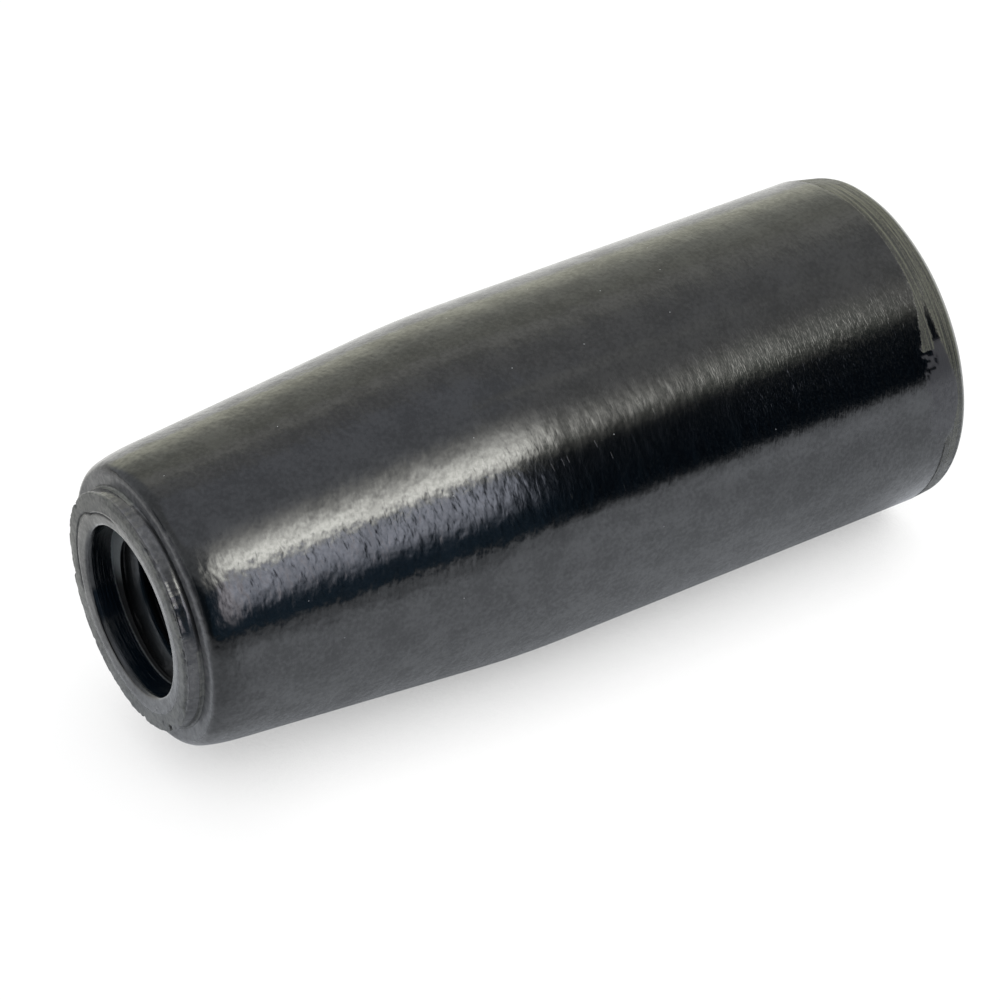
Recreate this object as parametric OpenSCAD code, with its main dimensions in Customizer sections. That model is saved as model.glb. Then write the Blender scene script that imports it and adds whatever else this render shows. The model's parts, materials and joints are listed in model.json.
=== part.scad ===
// Tapered hand grip for a machine lever, moulded in one piece from black thermoset resin.
// It stands on its large end, with the mouth of its blind threaded hole on top.
// Origin: middle of the large end's face. +Z: along the axis, towards the mouth.

/* [Body] */
// Overall length, from the large end's face to the collar's face
grip_length = 63.3; // [56:0.1:90]
// Diameter of the straight part, which fills the palm
palm_d = 26; // [25:0.1:34]
// Length of the taper, from the shoulder to the line where the straight part begins
taper_length = 25.7; // [14:0.1:34]
// Diameter at which the taper would meet the shoulder, before its corner is rounded
nose_d = 21.5; // [21:0.1:24]
// Length over which the taper blends into the straight part
blend_length = 6.8; // [1:0.1:12]

/* [Shoulder] */
// How far back along the taper it begins to ease inwards
ease_length = 3.5; // [2:0.1:6]
// How far the ease comes in from the taper where the rounded edge begins
ease_depth = 0.2; // [0.1:0.05:0.3]
// Height of the rounded edge between the taper and the flat shoulder
edge_height = 0.85; // [0.5:0.05:1.2]
// Width of the rounded edge, across the axis
edge_width = 0.87; // [0.6:0.01:1]

/* [Collar] */
// Diameter of the low collar round the mouth
collar_d = 17.8; // [16.2:0.1:18.2]
// Height of the collar's face above the shoulder
collar_height = 1.2; // [0.8:0.1:3]
// Radius of the broken edge round the collar's face
collar_edge = 0.1; // [0.05:0.05:0.3]
// Radius of the small round at the collar's foot
foot_round = 0.15; // [0.05:0.05:0.25]

/* [Large end] */
// Height of the band that was dressed round the rim
band_height = 1.75; // [1:0.05:4]
// How far the skin is cut back at the top of the band
band_step = 0.04; // [0.02:0.01:0.08]
// How far the dressed band comes in where the rim's round begins
rim_inset = 0.16; // [0.1:0.01:0.4]
// Radius of the round between the band and the end's face
rim_round = 0.3; // [0.1:0.05:0.8]

/* [Hole] */
// Diameter of the plain mouth, which lets the thread's full diameter in
mouth_d = 12.6; // [12.5:0.1:12.9]
// Diameter of the plain mouth at its flat step
mouth_foot_d = 12.4; // [12.1:0.1:12.5]
// Depth of the plain mouth below the collar's face
mouth_depth = 2.1; // [1:0.1:6]
// Outer diameter of the shallow ring that the lip is dressed to
ring_d = 14.9; // [14:0.1:15.4]
// How far that ring leans in below the collar's face
ring_drop = 0.07; // [0.02:0.01:0.15]
// Diameter at which the lip begins to roll over
lip_d = 13.3; // [13:0.1:13.8]
// Depth below the collar's face at which the lip has rolled into the mouth
lip_depth = 0.42; // [0.2:0.02:0.6]
// Core diameter of the threaded hole, across the thread's crests
core_d = 10.1; // [8:0.1:11.8]
// Depth of the hole's round wall below the collar's face
hole_depth = 30; // [15:0.5:45]
// Full angle of the cone at the hole's bottom
tip_angle = 118; // [90:1:150]

/* [Hidden] */
$fn = 128;
black = [0.05, 0.052, 0.055];
blend_steps = 6;
ease_steps = 5;
edge_steps = 8;
small_steps = 4;
// Share of the ease's height at which its curve turns away from the taper
ease_bend = 0.6;
// Extra reach of a cutter past the face that it opens
past = 1;

palm_r = palm_d / 2;
nose_r = nose_d / 2;
collar_r = collar_d / 2;
shoulder_z = grip_length - collar_height;
kink_z = shoulder_z - taper_length;
blend_half = blend_length / 2;
taper_slope = (palm_r - nose_r) / taper_length;

// Radius of the bare taper at height z
function taper_r(z) = nose_r + (shoulder_z - z) * taper_slope;

// Point on a quadratic curve from a to c that leaves and arrives along the lines through b
function curve(a, b, c, t) = (1 - t) * (1 - t) * a + 2 * t * (1 - t) * b + t * t * c;

// Rounded rim, dressed band and its small step, as [radius, height] points
function rim_points() =
    let (rim_r = palm_r - rim_inset)
    concat(
        [for (i = [0 : small_steps])
            let (a = 90 * i / small_steps)
            [rim_r - rim_round * (1 - sin(a)), rim_round * (1 - cos(a))]],
        [[palm_r - band_step, band_height], [palm_r, band_height + band_step]]
    );

// Blend from the straight part into the taper
function blend_points() =
    let (low = [palm_r, kink_z - blend_half],
         middle = [palm_r, kink_z],
         high = [taper_r(kink_z + blend_half), kink_z + blend_half])
    [for (i = [0 : blend_steps]) curve(low, middle, high, i / blend_steps)];

// Ease at the end of the taper, and the rounded edge that runs into the flat shoulder
function corner_points() =
    let (foot_z = shoulder_z - ease_length,
         edge_z = shoulder_z - edge_height,
         foot = [taper_r(foot_z), foot_z],
         edge = [taper_r(edge_z) - ease_depth, edge_z],
         bend_z = foot_z + ease_bend * (edge_z - foot_z),
         bend = [taper_r(bend_z), bend_z],
         lean = (bend[0] - edge[0]) / (edge_z - bend_z),
         tip = [edge[0] - lean * edge_height, shoulder_z],
         flat = [edge[0] - edge_width, shoulder_z])
    concat(
        [for (i = [0 : ease_steps]) curve(foot, bend, edge, i / ease_steps)],
        [for (i = [1 : edge_steps]) curve(edge, tip, flat, i / edge_steps)]
    );

// Solid of revolution with the palm part, the blend, the taper and the rounded shoulder
module body() {
    rotate_extrude()
        polygon(concat(
            [[0, 0]],
            rim_points(),
            blend_points(),
            corner_points(),
            [[0, shoulder_z]]
        ));
}

// Low boss round the mouth, with a small round at its foot and its edge just broken
module collar() {
    rotate_extrude()
        polygon(concat(
            [[0, shoulder_z - past], [collar_r + foot_round, shoulder_z - past]],
            [for (i = [0 : small_steps])
                let (a = 90 * i / small_steps)
                [collar_r + foot_round * (1 - sin(a)), shoulder_z + foot_round * (1 - cos(a))]],
            [for (i = [0 : small_steps])
                let (a = 90 * i / small_steps)
                [collar_r - collar_edge * (1 - cos(a)), grip_length - collar_edge * (1 - sin(a))]],
            [[0, grip_length]]
        ));
}

// Room for the hole: leaning ring, rolled lip, plain mouth, flat step, round core wall and drilled tip
module hole() {
    ring_r = ring_d / 2;
    lip_r = lip_d / 2;
    mouth_r = mouth_d / 2;
    core_r = core_d / 2;
    step_z = grip_length - mouth_depth;
    core_bottom_z = grip_length - hole_depth;
    tip_z = core_bottom_z - core_r / tan(tip_angle / 2);
    roll = lip_depth - ring_drop;
    rotate_extrude()
        polygon(concat(
            [[0, tip_z], [core_r, core_bottom_z], [core_r, step_z], [mouth_foot_d / 2, step_z]],
            [for (i = [0 : edge_steps])
                let (a = 90 * i / edge_steps)
                [mouth_r + (lip_r - mouth_r) * (1 - cos(a)), grip_length - lip_depth + roll * sin(a)]],
            [[ring_r, grip_length], [ring_r, grip_length + past], [0, grip_length + past]]
        ));
}

module grip() {
    color(black)
        difference() {
            union() {
                body();
                collar();
            }
            hole();
        }
}

grip();
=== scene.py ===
# %% [markdown]
# # A tapered lever grip
# This grip screws onto the end of a machine lever. It is one moulding of black thermoset resin, a hard
# glossy plastic that was trimmed on a machine at both ends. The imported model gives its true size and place,
# and everything here is made in that same frame, in metres: Z runs along the grip, with the large end at
# zero. Sizes of the grip are written in millimetres, as a maker would write them, and turned into metres
# where they are used.

import json
from math import atan2, cos, degrees, hypot, pi, radians, sin, tan

import bmesh
import bpy
from mathutils import Matrix, Vector, noise


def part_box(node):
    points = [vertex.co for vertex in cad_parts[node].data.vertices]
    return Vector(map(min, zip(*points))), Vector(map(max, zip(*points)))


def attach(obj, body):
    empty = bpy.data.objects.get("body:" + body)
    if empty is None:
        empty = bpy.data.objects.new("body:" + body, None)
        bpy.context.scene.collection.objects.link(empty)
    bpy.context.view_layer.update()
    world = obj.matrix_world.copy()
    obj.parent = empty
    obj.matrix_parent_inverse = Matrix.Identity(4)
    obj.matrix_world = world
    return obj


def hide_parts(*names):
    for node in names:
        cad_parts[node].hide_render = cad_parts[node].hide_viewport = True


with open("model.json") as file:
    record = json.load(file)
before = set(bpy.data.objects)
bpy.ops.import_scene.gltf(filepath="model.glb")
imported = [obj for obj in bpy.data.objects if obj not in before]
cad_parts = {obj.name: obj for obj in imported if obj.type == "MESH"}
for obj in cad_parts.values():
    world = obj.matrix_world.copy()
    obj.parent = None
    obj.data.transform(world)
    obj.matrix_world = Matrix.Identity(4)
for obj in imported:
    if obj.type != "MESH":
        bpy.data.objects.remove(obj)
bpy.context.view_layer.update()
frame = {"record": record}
MM = 0.001
top_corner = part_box("grip")[1]
grip_length = top_corner.z / MM
palm_r = top_corner.x / MM
mounts = {m["name"]: m for m in frame["record"]["mounts"]}
core_r = mounts["thread"]["dims"]["r_mm"]
print("grip", round(palm_r, 2), "mm in radius,", round(grip_length, 2), "mm long, thread core", core_r, "mm")

# %% [markdown]
# ## The outline
# A moulded round thing is drawn as half of its section and spun about its axis. The outline starts in the
# middle of the large end, goes out to the rim, up the straight part and the taper, round the shoulder, up
# the collar and over the lip into the mouth. Each kind of stretch is a short function that lists points
# along a line or a curve, so the outline has close points where it bends and few where it is straight.

# %% Helpers for the outline
def line(start, end, steps):
    """Points along a straight stretch, without its first point."""
    return [(start[0] + (end[0] - start[0]) * i / steps, start[1] + (end[1] - start[1]) * i / steps)
            for i in range(1, steps + 1)]


def quarter(start, end, steps, upwards):
    """Points along a quarter of an ellipse that sets out upwards, or else outwards."""
    points = []
    for i in range(1, steps + 1):
        t = 0.5 * pi * i / steps
        across, along = (1 - cos(t), sin(t)) if upwards else (sin(t), 1 - cos(t))
        points.append((start[0] + (end[0] - start[0]) * across, start[1] + (end[1] - start[1]) * along))
    return points


def bend(start, corner, end, steps):
    """Points along a smooth bend that leaves and arrives along the lines through the corner."""
    points = []
    for i in range(1, steps + 1):
        t = i / steps
        points.append(tuple((1 - t) ** 2 * a + 2 * t * (1 - t) * b + t * t * c
                            for a, b, c in zip(start, corner, end)))
    return points


print("a quarter in 3 steps", [tuple(round(v, 2) for v in p) for p in quarter((1, 0), (0, 1), 3, True)])

# %% [markdown]
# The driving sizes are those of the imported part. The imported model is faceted, so its box is a little
# narrower one way than the other. The palm's radius is read from the wider way, where the facets meet the
# true circle. The number of steps in each stretch is a choice of this scene: a stretch that gets marks
# later needs close points to carry them.

# %% Sizes of the body
taper_length = 25.7
nose_r = 10.75
blend_half = 3.4
ease_length, ease_depth, ease_bend = 3.5, 0.2, 0.6
edge_height, edge_width = 0.85, 0.87
rim_round, rim_inset = 0.3, 0.16
band_top, band_step = 1.75, 0.04
collar_height = 1.2
shoulder_z = grip_length - collar_height
kink_z = shoulder_z - taper_length
rim_r = palm_r - rim_inset
close_z = 2 * band_top
BODY_STEPS = {"end": 8, "rim": 6, "band": 10, "above band": 10, "palm": 9, "blend": 14, "taper": 8,
              "ease": 10, "edge": 14}
print("shoulder at", round(shoulder_z, 2), "mm and kink at", round(kink_z, 2), "mm")

# %% [markdown]
# The body's side is walked from the large end upwards. Every stretch starts at the last point of the one
# before, so the chain has no gap. The blend into the taper and the rounded shoulder are both smooth bends,
# as a mould's polished corner is, and the small step above the dressed band is a single short line.

# %% Draw the body's side
def taper_r(z):
    """Radius of the bare taper at height z."""
    return nose_r + (shoulder_z - z) * (palm_r - nose_r) / taper_length


def palm_outline():
    """From the middle of the large end to the taper's start."""
    face_edge = (rim_r - rim_round, 0.0)
    rim_top = (rim_r, rim_round)
    points = [(0.0, 0.0)] + line((0.0, 0.0), face_edge, BODY_STEPS["end"])
    points += quarter(face_edge, rim_top, BODY_STEPS["rim"], upwards=False)
    points += line(rim_top, (palm_r - band_step, band_top), BODY_STEPS["band"])
    points += [(palm_r, band_top + band_step)]
    points += line(points[-1], (palm_r, close_z), BODY_STEPS["above band"])
    points += line(points[-1], (palm_r, kink_z - blend_half), BODY_STEPS["palm"])
    blend_top = (taper_r(kink_z + blend_half), kink_z + blend_half)
    return points + bend(points[-1], (palm_r, kink_z), blend_top, BODY_STEPS["blend"])


def shoulder_outline(start):
    """From the taper's start to the inner end of the shoulder's rounded edge."""
    foot_z, edge_z = shoulder_z - ease_length, shoulder_z - edge_height
    turn_z = foot_z + ease_bend * (edge_z - foot_z)
    edge = (taper_r(edge_z) - ease_depth, edge_z)
    lean = (taper_r(turn_z) - edge[0]) / (edge_z - turn_z)
    edge_tip = (edge[0] - lean * edge_height, shoulder_z)
    points = line(start, (taper_r(foot_z), foot_z), BODY_STEPS["taper"])
    points += bend(points[-1], (taper_r(turn_z), turn_z), edge, BODY_STEPS["ease"])
    return points + bend(edge, edge_tip, (edge[0] - edge_width, shoulder_z), BODY_STEPS["edge"])


outline = palm_outline()
outline += shoulder_outline(outline[-1])
print("points from the large end to the shoulder:", len(outline))

# %% [markdown]
# The collar stands on the shoulder with a small round at its foot. Its face was dressed flat, and the mouth
# was left with a soft lip: a shallow ring that leans inwards and then rolls over into the plain mouth. The
# points lie closest together around the ring's outer edge, because a fine groove is pressed into the skin
# there later.

# %% Draw the collar and the mouth
collar_r = 8.9
foot_round = 0.15
collar_edge = 0.1
ring_r, ring_drop = 7.45, 0.07
lip_r, roll_depth = 6.65, 0.5
roll_bend = (0.32, 1.6 * ring_drop)
mouth_r, mouth_foot_r, mouth_depth = 6.3, 6.2, 2.1
roll_overlap = 0.03
step_z = grip_length - mouth_depth
groove_zone = (0.5, 0.2)
groove_lean = 0.01
COLLAR_STEPS = {"flat": 5, "foot": 5, "wall": 8, "edge": 4, "face": 5, "groove": 16, "ring": 7, "roll": 12,
                "mouth": 6}


def collar_outline(shoulder_edge):
    """From the shoulder up the collar, over its face and down the mouth to the flat step."""
    top = grip_length
    foot = (collar_r + foot_round, shoulder_z)
    wall_foot = (collar_r, shoulder_z + foot_round)
    wall_top = (collar_r, top - collar_edge)
    ring = (lip_r, top - ring_drop)
    roll_end = (mouth_r - roll_overlap, top - roll_depth)
    points = line(shoulder_edge, foot, COLLAR_STEPS["flat"])
    points += quarter(foot, wall_foot, COLLAR_STEPS["foot"], upwards=False)
    points += line(wall_foot, wall_top, COLLAR_STEPS["wall"])
    points += quarter(wall_top, (collar_r - collar_edge, top), COLLAR_STEPS["edge"], upwards=True)
    points += line(points[-1], (ring_r + groove_zone[0], top), COLLAR_STEPS["face"])
    points += line(points[-1], (ring_r - groove_zone[1], top - groove_lean), COLLAR_STEPS["groove"])
    points += line(points[-1], ring, COLLAR_STEPS["ring"])
    points += bend(ring, (lip_r - roll_bend[0], top - roll_bend[1]), roll_end, COLLAR_STEPS["roll"])
    return points + line(roll_end, (mouth_foot_r, step_z), COLLAR_STEPS["mouth"])


outline += collar_outline(outline[-1])
print("points in all:", len(outline))

# %% [markdown]
# ## Spinning the outline
# The spin operator turns a chain of edges about an axis in even steps. Only a sixteenth of the turn is
# spun. That slice is then copied and turned four times, twice as much each time, until it fills the circle.
# Doubled points are merged, those on the axis too, so the skin has no seam and no open pole.

# %% Spin the outline
AROUND = 384
DOUBLINGS = 4
MERGE = 1e-7
AXIS = (0, 0, 1)
CENTRE = (0, 0, 0)


def repeat(bm, doublings, motion):
    """Copies everything and moves the copy, again and again, so the number of copies doubles each time."""
    for _ in range(doublings):
        copied = bmesh.ops.duplicate(bm, geom=bm.verts[:] + bm.edges[:] + bm.faces[:])["geom"]
        bmesh.ops.transform(bm, matrix=motion, verts=[g for g in copied if isinstance(g, bmesh.types.BMVert)])
        motion = motion @ motion
    bmesh.ops.remove_doubles(bm, verts=bm.verts, dist=MERGE)


def chain(bm, points):
    """Adds points, given in metres, and joins each to the next with an edge."""
    verts = [bm.verts.new(point) for point in points]
    return verts + [bm.edges.new(pair) for pair in zip(verts, verts[1:])]


def spin_outline(points):
    """Skin of revolution from [radius, height] points."""
    bm = bmesh.new()
    slice_angle = 2 * pi / 2 ** DOUBLINGS
    bmesh.ops.spin(bm, geom=chain(bm, [(r * MM, 0, z * MM) for r, z in points]), cent=CENTRE, axis=AXIS,
                   angle=slice_angle, steps=AROUND // 2 ** DOUBLINGS)
    repeat(bm, DOUBLINGS, Matrix.Rotation(slice_angle, 4, "Z"))
    return bm


grip_bm = spin_outline(outline)
print("spun faces", len(grip_bm.faces))

# %% [markdown]
# ## The thread
# A screw thread is one small profile carried round the axis while it climbs by one pitch a turn. The same
# spin operator does that when dvec lifts each step. The ends of the swept skin are ragged steps, so a plane
# cuts each of them square, which leaves a clean flat edge to join to the rest. The phase turns the thread
# so that its first ridge meets the step where the real one does.

# %% Sweep the thread
PITCH = 1.75
THREAD_R = 6.0
THREAD_STEPS = 96
THREAD_DOUBLINGS = 5
FLANK = tan(radians(30))
CREST_ROUND = 0.1
CREST_SHARE = 0.25
thread_end_z = grip_length - 27.0
crest_at = radians(-50)


def thread_profile():
    """One pitch of the hole's wall, from the middle of a crest up to the next one."""
    half_crest = 0.5 * CREST_SHARE * PITCH
    root = half_crest + (THREAD_R - core_r) * FLANK
    lean = CREST_ROUND * FLANK
    half = [(core_r, 0.0), (core_r, half_crest - CREST_ROUND), (core_r + CREST_ROUND, half_crest + lean),
            (THREAD_R - CREST_ROUND, root - lean), (THREAD_R, root + CREST_ROUND)]
    return half + [(r, PITCH - z) for r, z in reversed(half)]


def sweep_thread(top_z, bottom_z):
    """The threaded wall between two heights, cut square at both."""
    bm = bmesh.new()
    base = top_z - (2 ** THREAD_DOUBLINGS - 2) * PITCH
    start_turn = Matrix.Rotation(-0.5 * pi - crest_at, 3, "Z")
    profile = [start_turn @ Vector((r * MM, 0, (base + z) * MM)) for r, z in thread_profile()]
    bmesh.ops.spin(bm, geom=chain(bm, profile), cent=CENTRE, axis=AXIS, angle=2 * pi, steps=THREAD_STEPS,
                   dvec=(0, 0, PITCH * MM / THREAD_STEPS))
    repeat(bm, THREAD_DOUBLINGS, Matrix.Translation((0, 0, PITCH * MM)))
    for z, side in ((top_z, 1), (bottom_z, -1)):
        bmesh.ops.bisect_plane(bm, geom=bm.verts[:] + bm.edges[:] + bm.faces[:], dist=MERGE,
                               plane_co=(0, 0, z * MM), plane_no=(0, 0, side), clear_outer=True)
    return bm


thread_bm = sweep_thread(step_z, thread_end_z)
print("thread faces", len(thread_bm.faces))

# %% [markdown]
# The three skins become one mesh. The operator triangle_fill closes the flat ring between two loops of
# edges, here the mouth's foot and the first turn of the thread: that ring is the flat step that shows
# inside the mouth. It is used in place of bridge_loops because the loops don't have the same number of
# points. Once everything is joined, the normals are worked out afresh, so that they point out of the resin
# everywhere, also inside the hole.

# %% Join the thread to the mouth and close the bottom
hole_end_z = grip_length - 30.0
tip_z = hole_end_z - 3.0
relief_r = THREAD_R + 0.1
TIP_STEPS = 4
LEVEL = 20 * MERGE


def join_bmesh(target, source):
    """Adds one bmesh to another, by way of a mesh that is thrown away again."""
    mesh = bpy.data.meshes.new("scratch")
    source.to_mesh(mesh)
    target.from_mesh(mesh)
    bpy.data.meshes.remove(mesh)
    source.free()


def open_edges(bm, z):
    """Edges at height z that have a face on one side only."""
    return [e for e in bm.edges if e.is_boundary and all(abs(v.co.z - z * MM) < LEVEL for v in e.verts)]


bottom = [(relief_r, thread_end_z), (relief_r, hole_end_z)]
bottom += line((relief_r, hole_end_z), (0.0, tip_z), TIP_STEPS)
join_bmesh(grip_bm, thread_bm)
join_bmesh(grip_bm, spin_outline(bottom))
for z in (step_z, thread_end_z):
    bmesh.ops.triangle_fill(grip_bm, edges=open_edges(grip_bm, z), use_beauty=True, normal=AXIS)
bmesh.ops.recalc_face_normals(grip_bm, faces=grip_bm.faces)
print("open edges left", sum(e.is_boundary for e in grip_bm.edges), "faces", len(grip_bm.faces))

# %% [markdown]
# ## Marks that the machines left
# The real grip isn't perfectly round. The dressed band at the large end is uneven, and the collar's rim has
# a ragged flash. These are small moves of the points that are already there, driven by smooth noise round
# the axis, so they belong to the mesh itself. Places round the grip are given as an angle in degrees, from
# the side that faces away from the floor towards the viewer, because that is how they were read off the
# photograph.

# %% Helpers for the marks
SEED_GAP = 17.3


def smooth(start, end, value):
    """Rises smoothly from 0 at start to 1 at end. Where start is the greater, it falls."""
    t = min(max((value - start) / (end - start), 0.0), 1.0)
    return t * t * (3 - 2 * t)


def between(low_end, high_end, value, soft):
    """1 between two values, falling to 0 over a soft border outside them."""
    return smooth(low_end - soft, low_end, value) * (1 - smooth(high_end, high_end + soft, value))


def on_side(psi, side):
    """1 on a part of the way round, given as its start, its end and the width of its soft border."""
    start, end, soft = side
    return between(start, end, degrees(psi), soft)


def along_stops(stops, psi):
    """Reads a value off a list of measured stops, with a smooth passage from each stop to the next."""
    deg = degrees(psi)
    for (a, low_value), (b, high_value) in zip(stops, stops[1:]):
        if deg < b:
            return low_value + (high_value - low_value) * smooth(a, b, deg)
    return stops[-1][1]


def around(psi, wavelength, radius, seed):
    """Smooth noise from about -1 to 1 round the axis, with no seam. The wavelength is in millimetres."""
    k = radius / wavelength
    return noise.noise(Vector((k * cos(psi), k * sin(psi), SEED_GAP * seed)))


def polar(co):
    """Radius, angle and height of a point."""
    x, y, z = co.x / MM, co.y / MM, co.z / MM
    return hypot(x, y), atan2(-x, -y), z


def place(vert, r, psi, z):
    vert.co = Vector((-r * sin(psi), -r * cos(psi), z)) * MM


TRY_AT = radians(28)
print("smooth half way", smooth(0, 1, 0.5), "noise at 28 degrees", round(around(TRY_AT, 1.0, palm_r, 0), 2))

# %% [markdown]
# The collar's face was trimmed, which broke crumbs out of its outer edge and left a thin ragged flash on
# the far side. A few deeper nicks sit where the photograph shows them. Each of them is a soft round spot,
# and the crumbling is two noises of different fineness, so that no two teeth of the edge are alike.

# %% Wear the collar's rim
NICKS = [(8.62, 139, 0.28), (8.15, 146, 0.2), (8.85, -58, 0.3), (8.8, -104, 0.22), (8.9, 171, 0.25),
         (7.3, 150, 0.12)]
EDGE_LOSS = [(-180, 0.0), (-135, 0.0), (-112, 0.02), (-95, 0.12), (-80, 0.03), (-68, 0.0), (-30, 0.0),
             (5, 0.25), (28, 0.4), (50, 0.25), (75, 0.3), (105, 0.3), (135, 0.05)]
RAGGED_SIDES = [(-180, -15, 15), (125, 180, 15)]
WORN_R = (8.2, 8.75)
WORN_DEPTH = (1.05, 0.05)
COARSE, FINE = 1.1, 0.3
CRUMB_COARSE, CRUMB_FINE, CRUMB_SMOOTH_SIDE, CRUMB_JITTER = 0.12, 0.13, 0.3, 0.4
INWARDS = {"bite": 0.6, "nick": 0.16, "flash": 0.03}
DOWNWARDS = {"bite": 0.5, "nick": 0.3}
NICK_FLAT = 0.3
SKIN = 0.01


def nick_share(r, psi):
    """1 in the middle of the nearest nick, falling to 0 at its size."""
    shares = []
    for spot_r, spot_deg, size in NICKS:
        gap = hypot(r - spot_r, spot_r * (psi - radians(spot_deg)))
        shares.append(1 - smooth(NICK_FLAT * size, size, gap))
    return max(shares)


def wear_rim(r, psi, z):
    """Chips and a thin ragged flash on the outer edge of the collar's face, and a few nicks."""
    near = smooth(*WORN_R, r) * smooth(grip_length - WORN_DEPTH[0], grip_length - WORN_DEPTH[1], z)
    if near == 0 or r > collar_r + SKIN:
        return r, z
    ragged = max(on_side(psi, side) for side in RAGGED_SIDES)
    fine = around(psi, FINE, r, 2)
    coarse_crumb, fine_crumb = max(0.0, around(psi, COARSE, r, 1)), max(0.0, fine)
    bite = ragged * (coarse_crumb * CRUMB_COARSE + fine_crumb * CRUMB_FINE)
    bite += (1 - ragged) * CRUMB_SMOOTH_SIDE * coarse_crumb
    bite += along_stops(EDGE_LOSS, psi) * (1 + CRUMB_JITTER * fine)
    nick = nick_share(r, psi)
    inwards = INWARDS["bite"] * bite + INWARDS["nick"] * nick - INWARDS["flash"] * ragged * fine
    return r - near * inwards, z - near * (DOWNWARDS["bite"] * bite + DOWNWARDS["nick"] * nick)


print("edge lost at 28 degrees", round(along_stops(EDGE_LOSS, TRY_AT), 2), "mm")

# %% [markdown]
# Three finer marks follow. A groove runs beside the lip's ring on one side of the face and wanders a
# little. A crevice lies at the collar's foot, on the upper side, and painted shade makes it dark. And inside
# the mouth the first ridge of the thread doesn't begin with a blunt wall but runs out of it, as a thread
# usually does.

# %% Press the groove and the crevice, and start the thread
GROOVE = [(-180, 7.3), (-97, 7.51), (-87, 7.6), (-76, 7.68), (-60, 7.8), (-52, 7.74), (-41, 7.37),
          (-30, 7.32), (-10, 7.25), (10, 7.2)]
GROOVE_SIDE = (-103, -18, 14)
GROOVE_R = (6.7, 8.3)
GROOVE_HALF = 0.13
GROOVE_WANDER, GROOVE_WANDER_LENGTH = 0.03, 0.5
GROOVE_FADE, GROOVE_FADE_LENGTH = 0.25, 0.9
CREVICE_SIDE = (18, 66, 20)
CREVICE_OUT = 0.07
CREVICE_EDGE = (0.06, 0.17)
MARK_REACH = 0.2
RUN_OUT_SIDE = (-105, -136)
RUN_OUT_DEPTH = (0.75, 0.5)


def groove_share(r, psi, z):
    """1 in the middle of the shallow groove between the face and the lip's ring."""
    if z < grip_length - MARK_REACH or r < GROOVE_R[0] or r > GROOVE_R[1]:
        return 0.0
    path = along_stops(GROOVE, psi) + GROOVE_WANDER * around(psi, GROOVE_WANDER_LENGTH, r, 5)
    fade = 1 - GROOVE_FADE + GROOVE_FADE * around(psi, GROOVE_FADE_LENGTH, r, 6)
    return on_side(psi, GROOVE_SIDE) * fade * (1 - smooth(0.0, GROOVE_HALF, abs(r - path)))


def crevice_share(r, psi, z):
    """1 in the middle of the crevice that the trimming left at the collar's foot, on the upper side, darkened
    as painted shade.
    """
    if abs(z - shoulder_z) > MARK_REACH:
        return 0.0
    return on_side(psi, CREVICE_SIDE) * (1 - smooth(*CREVICE_EDGE, abs(r - collar_r - CREVICE_OUT)))


def start_thread(r, psi, z):
    """Runs the first ridge out into the wall within a tenth of a turn, where the thread begins."""
    first = smooth(step_z - RUN_OUT_DEPTH[0], step_z - RUN_OUT_DEPTH[1], z)
    return r + first * smooth(*RUN_OUT_SIDE, degrees(psi)) * max(0.0, relief_r - r)


print("crevice at 28 degrees", round(crevice_share(collar_r + CREVICE_OUT, TRY_AT, shoulder_z), 2))

# %% [markdown]
# The rim of the large end was dressed unevenly, so the band is taller on one side than on the other, and
# deeper there too. Two lists of stops give its height and its depth all the way round: they were read off
# the photograph where it shows the band, and guessed where it doesn't. A second pair of heights says where
# the bare turned surface ends and where the skin above it was only rubbed dull: those two drive the
# material and not the shape.

# %% Dress the band at the large end
FRONT_BAND = [(55, 1.52), (59, 1.44), (61, 1.3), (66, 1.1), (70, 0.95), (75, 0.74), (80, 0.76), (86, 0.95),
              (91, 1.2), (95, 1.77), (100, 1.75)]
BAND_HEIGHT = [(-180, 1.75), (-100, 1.8), (-55, 2.45), (-8, 2.5), (3, 2.25), (38, 2.0), (46, 1.75)]
BAND_HEIGHT += FRONT_BAND
BAND_DEPTH = [(-180, 0.14), (-100, 0.2), (-60, 0.4), (-28, 0.45), (-8, 0.36), (16, 0.21), (40, 0.1),
              (60, 0.07), (80, 0.1), (104, 0.16), (135, 0.12), (180, 0.14)]
TURNED_TOP = [(-70, 1.75), (46, 1.68)] + FRONT_BAND
RUBBED_TOP = [(-75, 1.75), (-55, 2.45), (-8, 2.5), (3, 2.25), (38, 2.3), (47, 2.6), (52, 2.9), (58, 3.1),
              (62, 3.2), (66, 3.3), (72, 3.2)]
TURNED_WAVER, TURNED_LENGTH = 0.02, 0.8
RUBBED_WAVER, RUBBED_RAGGED, RUBBED_LENGTH = 0.032, 0.36, 0.9
RAGGED_PATCH = (60, 68, 3)
LEVEL_FACE_R = 9.0
RIM_REACH = 0.05


def turned_top(psi):
    """Height to which the rim was turned down."""
    return along_stops(TURNED_TOP, psi) + TURNED_WAVER * around(psi, TURNED_LENGTH, palm_r, 3)


def rubbed_top(psi):
    """Height to which the skin above it was rubbed dull."""
    waver = RUBBED_WAVER + RUBBED_RAGGED * on_side(psi, RAGGED_PATCH)
    return along_stops(RUBBED_TOP, psi) + waver * around(psi, RUBBED_LENGTH, palm_r, 4)


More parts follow.
